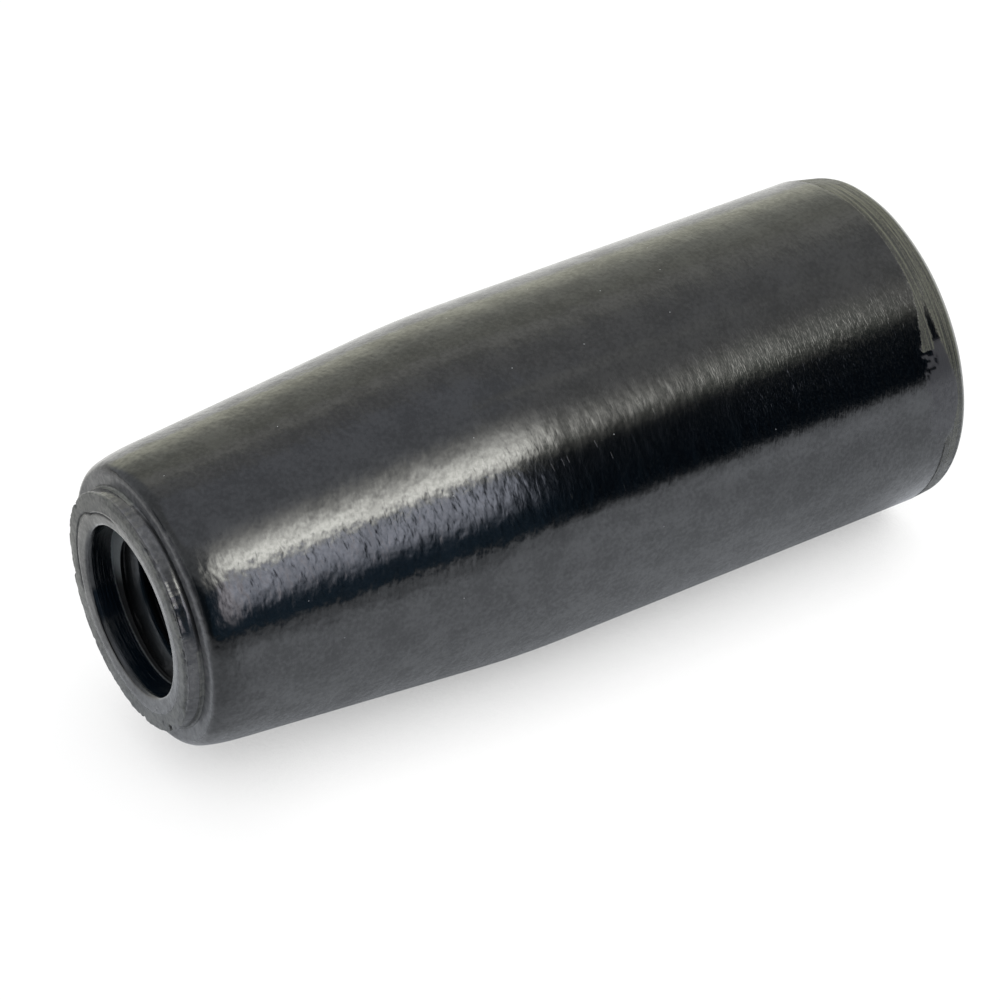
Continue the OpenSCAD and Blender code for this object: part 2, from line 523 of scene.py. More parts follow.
def dress_rim(r, psi, z):
    """Lays the skin back to a slightly conical cut below the band's height, deeper on the uppermost side."""
    if z > close_z or r < rim_r - RIM_REACH and z > rim_round:
        return r
    height, depth = along_stops(BAND_HEIGHT, psi), along_stops(BAND_DEPTH, psi)
    if z <= rim_round:
        return r + (rim_inset - depth) * smooth(LEVEL_FACE_R, rim_r - rim_round, r)
    below = height - z
    if below <= 0:
        return palm_r
    cone = depth * below / (height - rim_round)
    return palm_r - max(min(cone, depth), min(band_step, below))


print("turned and rubbed up to", [round(top(TRY_AT), 2) for top in (turned_top, rubbed_top)], "mm")

# %% [markdown]
# ## What the material has to know
# A material can't tell by itself where the resin was cut, so the mesh carries that as attributes, one
# number for each point. The first is a signed distance: how far the point lies inside a dressed place, up
# to a small reach. Stored that way, and not as a plain yes or no, the border can be sharpened and roughened
# inside the material, finer than the mesh itself.

# %% Say where the resin was cut
REACH = 0.3
FACE_BORDER_R, FACE_KEPT_R, FACE_BORDER_DEPTH, FACE_SLOPE = 7.55, 8.0, 0.14, 2
CLEAN_FOOT_SIDE = (5, 70, 12)
FOOT_SLOPE = 1.5
RIM_ZONE_DEPTH = 1.2
WEDGE_FROM, WEDGE_LEFT = 40, 60
WEDGE_RISE, WEDGE_RISE_SIDE = 0.42, (42, 50)
WEDGE_SLOPE, WEDGE_WAVER, WEDGE_LENGTH = 0.25, 0.3, 0.5


def band_cut(psi, z):
    """Distance inside the turned band, or inside the rubbed wedge above it on the viewer's side."""
    deg = degrees(psi)
    rubbed = rubbed_top(psi) - z
    if deg > WEDGE_FROM:
        wedge_foot = band_top + WEDGE_RISE * smooth(*WEDGE_RISE_SIDE, deg)
        wedge_end = WEDGE_SLOPE * (WEDGE_LEFT - deg) + WEDGE_WAVER * around(psi, WEDGE_LENGTH, palm_r, 7)
        rubbed = min(z - wedge_foot, rubbed, wedge_end)
    return max(turned_top(psi) - z, rubbed)


def cut_depth(r, psi, z):
    """How far inside a dressed place a point lies, in millimetres and not beyond the reach."""
    depth = -REACH
    if z > grip_length - REACH and r > lip_r:
        from_ring = r - FACE_BORDER_R if r < FACE_KEPT_R else REACH
        depth = min(from_ring, (z - grip_length + FACE_BORDER_DEPTH) * FACE_SLOPE)
    elif abs(z - shoulder_z) < REACH and r > collar_r - collar_edge:
        kept = REACH * (1 - 2 * on_side(psi, CLEAN_FOOT_SIDE))
        depth = min(FOOT_SLOPE * (collar_r + foot_round - r), kept)
    elif abs(z - step_z) < SKIN:
        depth = REACH
    elif r > palm_r - RIM_ZONE_DEPTH and z < 2.5 * band_top:
        depth = band_cut(psi, z)
    elif z < SKIN:
        depth = REACH
    return min(max(depth, -REACH), REACH)


print("depth of cut at the face's edge", round(cut_depth(collar_r - collar_edge, TRY_AT, grip_length), 2))

# %% [markdown]
# The second attribute says how much of the mould's gloss was rubbed away without cutting: on the shoulder's
# flat, on the collar's wall and ring, and in a ragged patch at the rim that still has glossy pits in it.
# Along part of the collar's wall the gloss is left, which is where the lamp's glint shows. On the shoulder's
# flat and the collar's wall the grey that goes with the rubbing is partly a painted sheen that lightens
# these shaded places.

# %% Say where the gloss was rubbed away
SHOULDER_ZONE = 1.0
LIP_DULL, LIP_DULL_R = 0.2, 6.46
RING_DULL, RING_DULL_R = 0.25, 8.4
WALL_DULL, WALL_LESS, WALL_MORE, WALL_EDGE = 0.35, 0.28, 0.2, 0.5
WALL_LESS_SIDE, WALL_MORE_SIDE, GLINT_SIDE = (40, 64, 8), (64, 80), (52, 64, 8)
WALL_EDGE_DEPTH = (0.5, 0.3)
FLAT_DULL_R = (10.25, 9.8)
FLAT_WIDER, FLAT_WIDEST, FLAT_WIDEST_SIDE = 0.05, 0.15, (28, 66, 12)
PATCH_SIDE, PITTED_SIDE = (59, 90, 2), (59, 69, 2)
PATCH_TOP, PATCH_SOFT, PATCH_WAVER, PATCH_LENGTH = 3.15, 0.2, 0.5, 0.35
PIT_FINENESS, PIT_EDGE, PIT_HEIGHT = 2.4, (0.02, 0.14), (1.9, 2.4)


def collar_dullness(r, psi, z):
    """Dullness of the lip, the ring, the collar's wall and the shoulder's flat."""
    if r < lip_r:
        return LIP_DULL * smooth(LIP_DULL_R, lip_r - 2 * SKIN, r)
    if z > grip_length - REACH and r < RING_DULL_R:
        return RING_DULL
    if r < collar_r + 2 * SKIN:
        edge = WALL_EDGE * smooth(grip_length - WALL_EDGE_DEPTH[0], grip_length - WALL_EDGE_DEPTH[1], z)
        wall = WALL_DULL - WALL_LESS * on_side(psi, WALL_LESS_SIDE)
        wall += WALL_MORE * smooth(*WALL_MORE_SIDE, degrees(psi))
        return max(edge * (1 - on_side(psi, GLINT_SIDE)), wall)
    # On the shoulder's flat this also sets where the painted sheen lies.
    wider = FLAT_WIDER + FLAT_WIDEST * on_side(psi, FLAT_WIDEST_SIDE)
    return smooth(FLAT_DULL_R[0] + wider, FLAT_DULL_R[1] + wider, r)


def patch_dullness(psi, z):
    """Dullness of the ragged patch above the rim, with the pits in it that kept their gloss."""
    edge = PATCH_TOP + PATCH_WAVER * around(psi, PATCH_LENGTH, palm_r, 8)
    spots = noise.noise(Vector((palm_r * psi, z, 3.0)) * PIT_FINENESS)
    pitted = smooth(*PIT_EDGE, spots) * smooth(*PIT_HEIGHT, z) * on_side(psi, PITTED_SIDE)
    return on_side(psi, PATCH_SIDE) * smooth(edge + PATCH_SOFT, edge, z) * (1 - pitted)


def dullness(r, psi, z):
    """Share of the gloss that rubbing took away."""
    if z > shoulder_z - SHOULDER_ZONE:
        return collar_dullness(r, psi, z)
    return patch_dullness(psi, z) if z < close_z else 0.0


print("gloss lost on the ring", dullness(ring_r, TRY_AT, grip_length))

# %% [markdown]
# One pass over all points does the work: it finds out which part of the grip a point belongs to, moves it,
# and writes down its three numbers. The third darkens the resin: dirt in the groove and the nicks, and
# painted shade in the crevice, along the band's top edge towards the floor, on the mouth's step away from
# its lit side and on the thread's flanks and roots. A loop in the script is right here, because every point
# gets its own treatment and no operator does that.

# %% Shape the grip
GROOVE_DEPTH, CREVICE_DEPTH = 0.1, 0.14
# The dark line along the turned band's top edge, towards the floor, is painted shadow under the step.
SHADE_LINE, SHADE_LINE_SOFT, SHADE_LINE_SIDE = (0.02, 0.05), 0.12, (97, 180, 2)
# The lit side of the mouth's step keeps its painted highlight; elsewhere the step is painted dark as shade.
LIT_STEP_SIDE = (-86, 40, 26)
# The thread's flanks and roots are painted dark as shade deep in the hole.
ROOT_SHADE, ROOT_SHADE_R, ROOT_REACH, SHADED_DEPTH = 0.9, (0.02, 0.2), 0.05, 12
cuts, dirt, dull = [], [], []
for vert in grip_bm.verts:
    r, psi, z = polar(vert.co)
    # The crevice's dark is painted shade.
    crevice = soot_and_shade = crevice_share(r, psi, z)
    if z > shoulder_z and r > lip_r:
        groove = groove_share(r, psi, z)
        soot_and_shade = max(crevice, groove, nick_share(r, psi) if z > grip_length - REACH else 0.0)
        r, z = wear_rim(r, psi, z)
        z -= GROOVE_DEPTH * groove + CREVICE_DEPTH * crevice
        place(vert, r, psi, z)
    elif crevice > 0:
        z -= CREVICE_DEPTH * crevice
        place(vert, r, psi, z)
    elif z < close_z and r > core_r:
        # Painted shadow: a dark line along the band's top edge on the side towards the floor.
        line_z = turned_top(psi)
        on_shade_line = between(line_z - SHADE_LINE[0], line_z + SHADE_LINE[1], z, SHADE_LINE_SOFT)
        soot_and_shade = on_shade_line * on_side(psi, SHADE_LINE_SIDE)
        r = dress_rim(r, psi, z)
        place(vert, r, psi, z)
    # The mouth's step is painted dark as shade away from its lit side.
    elif r < mouth_r and step_z - SKIN <= z < step_z + SKIN:
        soot_and_shade = 1 - on_side(psi, LIT_STEP_SIDE)
    elif r < THREAD_R + ROOT_REACH and step_z - SHADED_DEPTH < z < step_z - SKIN:
        soot_and_shade = ROOT_SHADE * smooth(core_r + ROOT_SHADE_R[0], core_r + ROOT_SHADE_R[1], r)
        if z > step_z - RUN_OUT_DEPTH[0]:
            r = start_thread(r, psi, z)
            place(vert, r, psi, z)
    cuts.append(cut_depth(r, psi, z))
    dirt.append(soot_and_shade)
    dull.append(dullness(r, psi, z))
print("points in dressed places", sum(v > 0 for v in cuts), "of", len(cuts))

# %% [markdown]
# The bmesh becomes an object that sits at the origin, unturned and unscaled, with its place in its mesh.
# Smooth shading hides the facets, and edges sharper than 35 degrees stay crisp. The object rides on an
# empty for the body named root, and the imported grip is hidden.

# %% Make the grip's object
SHARP = radians(35)


def finish_object(bm, name):
    """Turns a bmesh into a smooth-shaded object in the scene."""
    mesh = bpy.data.meshes.new(name)
    bm.to_mesh(mesh)
    bm.free()
    mesh.shade_smooth()
    mesh.set_sharp_from_angle(angle=SHARP)
    obj = bpy.data.objects.new(name, mesh)
    bpy.context.scene.collection.objects.link(obj)
    return obj


grip = finish_object(grip_bm, "moulded_grip")
for name, values in (("cut", cuts), ("dirt", dirt), ("dull", dull)):
    grip.data.attributes.new(name, "FLOAT", "POINT").data.foreach_set("value", values)
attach(grip, "root")
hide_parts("grip")
print("triangles", sum(len(p.vertices) - 2 for p in grip.data.polygons))

# %% [markdown]
# ## Materials
# A procedural material is a small network of nodes. Writing every node out by hand is long and hard to
# read, so these helpers each add one kind of node and give back its output, and a pattern then reads like a
# sum. All of them take the node tree first. Where a helper takes a start and an end, it works like the
# smooth step above.

# %% Helpers for nodes
def put(tree, socket, value):
    """Links a socket to another node's output, or sets its number or colour."""
    if isinstance(value, bpy.types.NodeSocket):
        tree.links.new(value, socket)
    else:
        socket.default_value = value


def node(tree, kind, settings=None, **inputs):
    """Adds a node. The settings are its own choices, and the inputs are values or links."""
    n = tree.nodes.new("ShaderNode" + kind)
    for key, value in (settings or {}).items():
        setattr(n, key, value)
    for key, value in inputs.items():
        put(tree, n.inputs[key.replace("_", " ")], value)
    return n


def filled(tree, kind, settings, output, sockets):
    """Adds a node whose sockets share names, so that they are filled by number."""
    n = node(tree, kind, settings)
    for index, value in sockets.items():
        put(tree, n.inputs[index], value)
    return n.outputs[output]


def new_material(name):
    material = bpy.data.materials.new(name)
    material.use_nodes = True
    material.node_tree.nodes.clear()
    return material, material.node_tree


print("basic node helpers are ready")

# %% [markdown]
# The second set reads like arithmetic. It works out numbers, multiplies and adds patterns, passes smoothly
# from one value to another, and chooses between two colours, two numbers or two shaders.

# %% Helpers for sums and passages
def calc(tree, operation, *values):
    return filled(tree, "Math", {"operation": operation}, 0, dict(enumerate(values)))


def times(tree, *values):
    """Product of several outputs or numbers."""
    total = values[0]
    for value in values[1:]:
        total = calc(tree, "MULTIPLY", total, value)
    return total


def weighted(tree, *pairs):
    """Sum of outputs, each multiplied by its own amount."""
    total = 0.0
    for value, amount in pairs:
        total = calc(tree, "MULTIPLY_ADD", value, amount, total)
    return total


def ramp(tree, value, start, end):
    """Rises smoothly from 0 at start to 1 at end. Where start is the greater, it falls."""
    n = node(tree, "MapRange", {"interpolation_type": "SMOOTHSTEP"}, Value=value, From_Min=start,
             From_Max=end)
    return n.outputs["Result"]


def window(tree, value, start, full_from, full_to, end):
    """Rises from 0 to 1, stays there, and falls to 0 again."""
    return times(tree, ramp(tree, value, start, full_from), ramp(tree, value, end, full_to))


def mix(tree, factor, a, b):
    """Passes from one colour to another."""
    return filled(tree, "Mix", {"data_type": "RGBA"}, 2, {0: factor, 6: a, 7: b})


def blend(tree, factor, a, b):
    """Passes from one number to another."""
    return filled(tree, "Mix", {"data_type": "FLOAT"}, 0, {0: factor, 2: a, 3: b})


def choose(tree, factor, a, b):
    """Passes from one shader to another."""
    return filled(tree, "MixShader", None, 0, {0: factor, 1: a, 2: b})


print("helpers for sums and passages are ready")

# %% [markdown]
# Marks on a turned or moulded surface are longer round the axis than along it. So the noise used here takes
# the length of its spots in millimetres in both directions. All patterns read Object coordinates, which
# stay with the mesh when the grip is moved.

# %% Helpers for surface patterns
UNROLL_R = 12.5
SPECK_CORE = 0.4


def stretched_noise(tree, hoop, axial, detail, seed, rough=0.5):
    """Noise whose spots measure so many millimetres round the grip and along it."""
    size = node(tree, "Mapping", Vector=node(tree, "TexCoord").outputs["Object"])
    size.inputs["Scale"].default_value = (1 / (hoop * MM), 1 / (hoop * MM), 1 / (axial * MM))
    size.inputs["Location"].default_value = (seed, seed, seed)
    pattern = node(tree, "TexNoise", Vector=size.outputs[0], Scale=1.0, Detail=detail, Roughness=rough)
    return pattern.outputs["Fac"]


def unrolled(tree, hoop, axial, turn=0.0):
    """The grip's skin laid flat, divided into cells of so many millimetres, and turned on it."""
    at = node(tree, "SeparateXYZ", Vector=node(tree, "TexCoord").outputs["Object"]).outputs
    angle = calc(tree, "ARCTAN2", times(tree, at["X"], -1.0), times(tree, at["Y"], -1.0))
    flat = node(tree, "CombineXYZ", X=times(tree, angle, UNROLL_R), Y=calc(tree, "DIVIDE", at["Z"], MM))
    turned = node(tree, "VectorRotate", {"rotation_type": "Z_AXIS"}, Vector=flat.outputs[0], Angle=turn)
    size = node(tree, "Mapping", Vector=turned.outputs[0])
    size.inputs["Scale"].default_value = (1 / hoop, 1 / axial, 1.0)
    return size.outputs[0]


def specks(tree, cells_at, radius, kept):
    """Small round or stretched spots, one in each cell that is kept."""
    cells = node(tree, "TexVoronoi", {"voronoi_dimensions": "2D"}, Vector=cells_at, Scale=1.0)
    drawn_lot = node(tree, "SeparateXYZ", Vector=cells.outputs["Color"]).outputs["X"]
    chosen = calc(tree, "LESS_THAN", drawn_lot, kept)
    return times(tree, chosen, ramp(tree, cells.outputs["Distance"], radius, SPECK_CORE * radius))


print("pattern helpers are ready")

# %% [markdown]
# ## Black resin
# The real resin is near black, with a mould gloss that has a fine orange peel in it. Where it was dressed,
# the filler shows and it turns grey and matt. So one material holds both finishes and a mask passes from
# one to the other. First come the place on the grip, read from Object coordinates, and that mask: the
# distance stored in the mesh, made ragged by a fine grain, so that the border looks torn and not drawn.

# %% Black resin: places and masks
MASK_RAGGED, MASK_EDGE = 0.34, (0.1, 0.22)
BORE_R = (6.42, 6.3)
CREST_R = (5.35, 5.2)
END_TO_TOP = (10.0, 20.0)
resin, tree = new_material("black_resin")
cut, soot_and_shade, dulled = (node(tree, "Attribute", {"attribute_name": name}).outputs["Fac"]
                     for name in ("cut", "dirt", "dull"))
at = node(tree, "SeparateXYZ", Vector=node(tree, "TexCoord").outputs["Object"]).outputs
along = calc(tree, "DIVIDE", at["Z"], MM)
across = node(tree, "CombineXYZ", X=at["X"], Y=at["Y"]).outputs[0]
across_length = node(tree, "VectorMath", {"operation": "LENGTH"}, Vector=across).outputs["Value"]
off_axis = calc(tree, "DIVIDE", across_length, MM)
grain = stretched_noise(tree, hoop=0.16, axial=0.1, detail=3.0, seed=3.0, rough=0.6)
mask = ramp(tree, weighted(tree, (grain, MASK_RAGGED), (cut, 1.0)), *MASK_EDGE)
in_bore = ramp(tree, off_axis, *BORE_R)
crest = times(tree, ramp(tree, off_axis, *CREST_R), in_bore)
near_collar = ramp(tree, along, *END_TO_TOP)
print("nodes so far", len(tree.nodes))

# %% [markdown]
# The gloss isn't a mirror. Light breaks up in it because the skin has a fine peel and a broader swell,
# stronger on the taper than on the palm, and on the palm also short drawn lines round the axis. Each is a
# noise of its own size, and the numbers below are their heights in millimetres. They are far too small to
# model, so they feed a Bump node, which only tilts the reflections.

# %% Black resin: relief of the glossy skin
TAPER_SPAN, PALM_SHARE = (30.0, 44.0), 0.42
CALM_RISE, CALM_FALL, CALM_SHARE = (0.15, 0.4), (0.72, 0.58), 0.45
DRAWN_SPAN, DRAWN_SHARE = (26.0, 16.0), 0.18
STROKE_RISE, STROKE_FALL = (22.0, 28.0), (42.0, 38.0)
peel = stretched_noise(tree, hoop=0.62, axial=0.4, detail=0.8, seed=1.0)
swell = stretched_noise(tree, hoop=1.2, axial=0.8, detail=0.6, seed=2.0)
waves = stretched_noise(tree, hoop=5.0, axial=2.2, detail=2.0, seed=5.0)
drawn = stretched_noise(tree, hoop=0.45, axial=0.1, detail=1.0, seed=6.0)
pits = ramp(tree, stretched_noise(tree, hoop=0.75, axial=0.32, detail=0.6, seed=4.0), start=0.52, end=0.76)
strokes = specks(tree, unrolled(tree, hoop=1.2, axial=0.14, turn=0.12), radius=0.3, kept=0.02)
strokes = times(tree, strokes, ramp(tree, along, *STROKE_RISE), ramp(tree, along, *STROKE_FALL))
facing = calc(tree, "DIVIDE", times(tree, at["X"], -1.0 / MM), off_axis)
calm = times(tree, ramp(tree, facing, *CALM_RISE), ramp(tree, facing, *CALM_FALL))
lively = times(tree, blend(tree, ramp(tree, along, *TAPER_SPAN), PALM_SHARE, 1.0),
               blend(tree, calm, 1.0, CALM_SHARE))
drawn = times(tree, drawn, blend(tree, ramp(tree, along, *DRAWN_SPAN), DRAWN_SHARE, 1.0))
moulded = weighted(tree, (peel, 0.021), (swell, 0.036), (pits, -0.004))
skin_height = weighted(tree, (times(tree, moulded, lively), 1.0), (waves, 0.04), (strokes, 0.004),
                       (drawn, 0.011))
print("nodes so far", len(tree.nodes))

# %% [markdown]
# A turning tool leaves fine lines that run round the axis. Noise that is very long round the grip and very
# short along it gives just that, and it is used in the bore and, stronger, on the band at the large end.
# The mask then chooses between the heights of the glossy and the dressed skin, so a single Bump node serves
# both.

# %% Black resin: relief of the dressed places
BORE_LINES, BAND_LINES, CUT_LINES, CUT_GRAIN = 0.03, 0.06, 0.008, 0.02
turned_lines = stretched_noise(tree, hoop=9.0, axial=0.11, detail=3.0, seed=7.0, rough=0.7)
skin_height = blend(tree, in_bore, skin_height, times(tree, turned_lines, BORE_LINES))
near_band = ramp(tree, along, *reversed(END_TO_TOP))
cut_height = weighted(tree, (times(tree, turned_lines, near_band), BAND_LINES), (turned_lines, CUT_LINES),
                      (grain, CUT_GRAIN))
bump = node(tree, "Bump", Height=blend(tree, mask, skin_height, cut_height), Strength=1.0, Distance=MM)
print("nodes so far", len(tree.nodes))

# %% [markdown]
# The dressed places get their greys next. The collar's face is blotchy, the step in the mouth is painted
# pale as a highlight, the band is near black with pale tool lines, and its lowest rim carries a painted
# reflection, a pale strip on the side away from the floor. The photograph doesn't show the end's face, so it
# has plain turned rings and nothing more.

# %% Black resin: colours of the dressed places
FACE_DARK, FACE_PALE = (0.1, 0.101, 0.099, 1), (0.235, 0.235, 0.212, 1)
# The step's pale colour is a painted highlight.
STEP_HIGHLIGHT = (0.4, 0.42, 0.42, 1)
# The rim's pale colour is a painted reflection of the white surroundings at a grazing angle.
BAND_DARK, BAND_PALE, RIM_REFLECTION = (0.002, 0.002, 0.0015, 1), (0.085, 0.085, 0.06, 1), (0.32, 0.32, 0.31, 1)
END_DARK, END_PALE = (0.03, 0.03, 0.029, 1), (0.06, 0.06, 0.057, 1)
RIM_HEIGHT, RIM_SIDE = (0.36, 0.22), (0.004, -0.001)
END_R, END_HEIGHT, RING_WIDTH = (12.54, 12.4), (0.3, 0.1), 0.14
worn_spots = stretched_noise(tree, hoop=0.5, axial=0.5, detail=4.0, seed=11.0, rough=0.65)
worn_spots = ramp(tree, worn_spots, start=0.36, end=0.68)
line_share = ramp(tree, weighted(tree, (turned_lines, 0.8), (grain, 0.4)), start=0.5, end=0.7)
band_colour = mix(tree, line_share, BAND_DARK, BAND_PALE)
# Painted reflection: a pale strip on the rim's side away from the floor.
rim_reflection_share = times(tree, ramp(tree, along, *RIM_HEIGHT), ramp(tree, at["Y"], *RIM_SIDE))
band_colour = mix(tree, rim_reflection_share, band_colour, RIM_REFLECTION)
on_end = times(tree, ramp(tree, off_axis, *END_R), ramp(tree, along, *END_HEIGHT))
ring_place = calc(tree, "DIVIDE", off_axis, RING_WIDTH)
rings = node(tree, "TexNoise", {"noise_dimensions": "1D"}, W=ring_place, Scale=1.0, Detail=3.0).outputs["Fac"]
end_colour = mix(tree, ramp(tree, rings, start=0.3, end=0.7), END_DARK, END_PALE)
band_colour = mix(tree, on_end, band_colour, end_colour)
face_colour = mix(tree, in_bore, mix(tree, worn_spots, FACE_DARK, FACE_PALE), STEP_HIGHLIGHT)
cut_colour = mix(tree, near_collar, band_colour, face_colour)
print("nodes so far", len(tree.nodes))

# %% [markdown]
# The skin itself is almost black, with a faint haze, and a few grains of pale dust lie on it. Where the
# gloss was rubbed off it greys, strongly at the collar and hardly at the rim. At the collar that grey is
# partly real rubbing and partly a painted sheen, which lightens the shaded shoulder's flat and collar wall.
# In the bore it is a cold black, and the thread's crests are a touch lighter.

# %% Black resin: colours of the skin
SKIN_DEEP, SKIN_HAZE = (0.0002, 0.0004, 0.0008, 1), (0.0052, 0.0058, 0.0066, 1)
DUST = (0.22, 0.22, 0.23, 1)
# The collar's rubbed greys are partly a painted sheen, lighter where the shoulder's flat and the collar's
# wall lie in shade.
RUBBED_SHEEN_DARK, RUBBED_SHEEN_PALE = (0.11, 0.109, 0.117, 1), (0.24, 0.236, 0.238, 1)
RUBBED_RIM = (0.024, 0.023, 0.027, 1)
# The soot colour is dirt in the groove and the nicks, and painted shade in the crevice, along the band's
# edge, on the mouth's step and in the thread.
BORE, CREST, SOOT_AND_SHADE = (0.001, 0.005, 0.01, 1), (0.014, 0.022, 0.03, 1), (0.002, 0.002, 0.002, 1)
haze = stretched_noise(tree, hoop=0.22, axial=0.13, detail=3.0, seed=10.0, rough=0.6)
dust = specks(tree, unrolled(tree, hoop=3.6, axial=3.6), radius=0.018, kept=0.14)
skin_colour = mix(tree, ramp(tree, haze, start=0.5, end=0.72), SKIN_DEEP, SKIN_HAZE)
skin_colour = mix(tree, dust, skin_colour, DUST)
rubbed = mix(tree, near_collar, RUBBED_RIM, mix(tree, worn_spots, RUBBED_SHEEN_DARK, RUBBED_SHEEN_PALE))
skin_colour = mix(tree, dulled, skin_colour, rubbed)
skin_colour = mix(tree, in_bore, skin_colour, BORE)
skin_colour = mix(tree, crest, skin_colour, CREST)
resin_colour = mix(tree, soot_and_shade, mix(tree, mask, skin_colour, cut_colour), SOOT_AND_SHADE)
print("nodes so far", len(tree.nodes))

# %% [markdown]
# Last comes the shader. Roughness passes through the same masks as colour: smooth where the mould's gloss
# is left, rough where it was cut, and dull as felt where the dirt and the painted shade lie. A thin coat lies
# over the skin unevenly, like the film that hands leave, and its weight is a noise of two sizes. What is the
# same all over, such as the index of refraction, is set on the shader's own socket.

# %% Black resin: finish
GLOSS_ROUGH, BORE_ROUGH, DULL_ROUGH, CUT_ROUGH, SOOT_AND_SHADE_ROUGH = 0.14, 0.16, 0.42, 0.5, 0.9
FILM_WEIGHT, FILM_EDGE = 0.4, (0.36, 0.64)
fine_film = stretched_noise(tree, hoop=0.3, axial=0.3, detail=2.0, seed=8.0)
broad_film = stretched_noise(tree, hoop=2.5, axial=2.5, detail=3.0, seed=9.0, rough=0.6)
film = ramp(tree, weighted(tree, (fine_film, 0.5), (broad_film, 0.5)), *FILM_EDGE)
rough = blend(tree, dulled, blend(tree, in_bore, GLOSS_ROUGH, BORE_ROUGH), DULL_ROUGH)
rough = blend(tree, soot_and_shade, blend(tree, mask, rough, CUT_ROUGH), SOOT_AND_SHADE_ROUGH)
bsdf = node(tree, "BsdfPrincipled", Base_Color=resin_colour, Roughness=rough, IOR=1.52,
            Normal=bump.outputs[0], Coat_Roughness=0.12, Coat_Weight=times(tree, film, FILM_WEIGHT))
node(tree, "OutputMaterial", Surface=bsdf.outputs[0])
grip.data.materials.append(resin)
print("nodes in black resin", len(tree.nodes))

# %% [markdown]
# ## The floor
# The grip stands on its large end in its own frame, but the camera sees it lying on its side, so the floor
# is a plane that touches the palm's side. It is one face made by create_grid, turned upright and moved into
# place. It isn't part of the object.

# %% Lay the floor
FLOOR_SIZE = 1.2
floor_bm = bmesh.new()
bmesh.ops.create_grid(floor_bm, x_segments=1, y_segments=1, size=0.5 * FLOOR_SIZE)
bmesh.ops.rotate(floor_bm, verts=floor_bm.verts, matrix=Matrix.Rotation(0.5 * pi, 3, "X"))
bmesh.ops.translate(floor_bm, verts=floor_bm.verts, vec=(0, palm_r * MM, 0.5 * grip_length * MM))
floor = finish_object(floor_bm, "floor")
print("floor normal", [round(c) for c in floor.data.polygons[0].normal])

# %% [markdown]
# The floor is white paper under very even light, and all that shows on it is a soft contact shadow. An
# Ambient Occlusion node measures how much of the sky each place can't see: a short reach gives the dark
# line of contact, a long one the wide pale shade around it. Reaches and places on the floor are in metres.
# The camera sees that shade as glow, on a level where 1 is white. So the background is white without any
# extra light falling on the object.

# %% The floor as the camera sees it
NEAR_REACH, WIDE_REACH, SHADE_SAMPLES = 0.009, 0.05, 3
WHITE, DARKEST, CONTACT_POWER = 0.99, 0.25, 5.0
CONTACT_SHADE, CONTACT_SHADE_PALM, UNDER_PALM = 1.06, 0.95, (0.036, 0.024)
WIDE_SHADE, WIDE_SHADE_COLLAR, COLLAR_Z, COLLAR_X = 0.03, 0.2, (0.052, 0.064), (0.016, 0.002)
floor_look, tree = new_material("floor")
path = node(tree, "LightPath").outputs
to_camera = path["Is Camera Ray"]
mirrored = calc(tree, "MAXIMUM", path["Is Glossy Ray"], path["Is Transmission Ray"])
here = node(tree, "NewGeometry").outputs
spot = node(tree, "SeparateXYZ", Vector=here["Position"]).outputs
near_open, wide_open = (
    node(tree, "AmbientOcclusion", {"samples": SHADE_SAMPLES}, Distance=reach).outputs["AO"]
    for reach in (NEAR_REACH, WIDE_REACH))
contact = calc(tree, "POWER", calc(tree, "SUBTRACT", 1.0, near_open), CONTACT_POWER)
by_palm = ramp(tree, spot["Z"], *UNDER_PALM)
contact = times(tree, contact, blend(tree, by_palm, CONTACT_SHADE, CONTACT_SHADE_PALM))
by_collar = times(tree, ramp(tree, spot["Z"], *COLLAR_Z), ramp(tree, spot["X"], *COLLAR_X))
around_it = calc(tree, "SUBTRACT", 1.0, wide_open)
wide = times(tree, around_it, blend(tree, by_collar, WIDE_SHADE, WIDE_SHADE_COLLAR))
camera_level = calc(tree, "SUBTRACT", calc(tree, "SUBTRACT", WHITE, contact), wide)
camera_level = times(tree, to_camera, calc(tree, "MAXIMUM", camera_level, DARKEST))
print("nodes so far", len(tree.nodes))

# %% [markdown]
# The glossy resin mirrors the floor as well, and there it isn't evenly white: it is bright close to the
# grip and fades into a dark studio farther off. How bright each part of the floor is was read off the
# reflection along the grip's lower side. Each correction below is one soft window on the floor, in metres,
# and its strength.

# %% The floor as the resin mirrors it
MIDDLE_Z, HALF_LENGTH = 0.03, 0.04
FADE_NEAR, FADE_FAR = (0.045, 0.11), (0.12, 0.36)
LEVEL_NEAR, LEVEL_MIDDLE, LEVEL_FAR = 1.6, 0.8, 0.1
BEHIND, BEHIND_TINT, PAST_COLLAR = (0.015, 0.05), (0.0, 0.03), (0.26, 0.11)
MOUTH_X, MOUTH_LEVEL = (0.0, -0.012), 0.64
RIM_Z, RIM_X, RIM_FRONT = (0.014, 0.001), (0.004, -0.006), (-0.05, -0.015)
RIM_LOSS, RIM_FRONT_LOSS = 0.13, 0.12
BEYOND_Z, BEYOND_X, BEYOND_LEVEL = (0.03, -0.02), (-0.04, -0.11), 2.1
NOTCH_Z, NOTCH_X, NOTCH_LEVEL = (0.062, 0.07), (-0.002, 0.004), 0.68
before = calc(tree, "MINIMUM", spot["X"], 0.0)
from_middle = calc(tree, "ABSOLUTE", calc(tree, "SUBTRACT", spot["Z"], MIDDLE_Z))
beside = calc(tree, "MAXIMUM", calc(tree, "SUBTRACT", from_middle, HALF_LENGTH), 0.0)
off_centre = calc(tree, "ADD", times(tree, before, before), times(tree, beside, beside))
off_centre = calc(tree, "SQRT", off_centre)
fade = blend(tree, ramp(tree, off_centre, *FADE_FAR), LEVEL_MIDDLE, LEVEL_FAR)
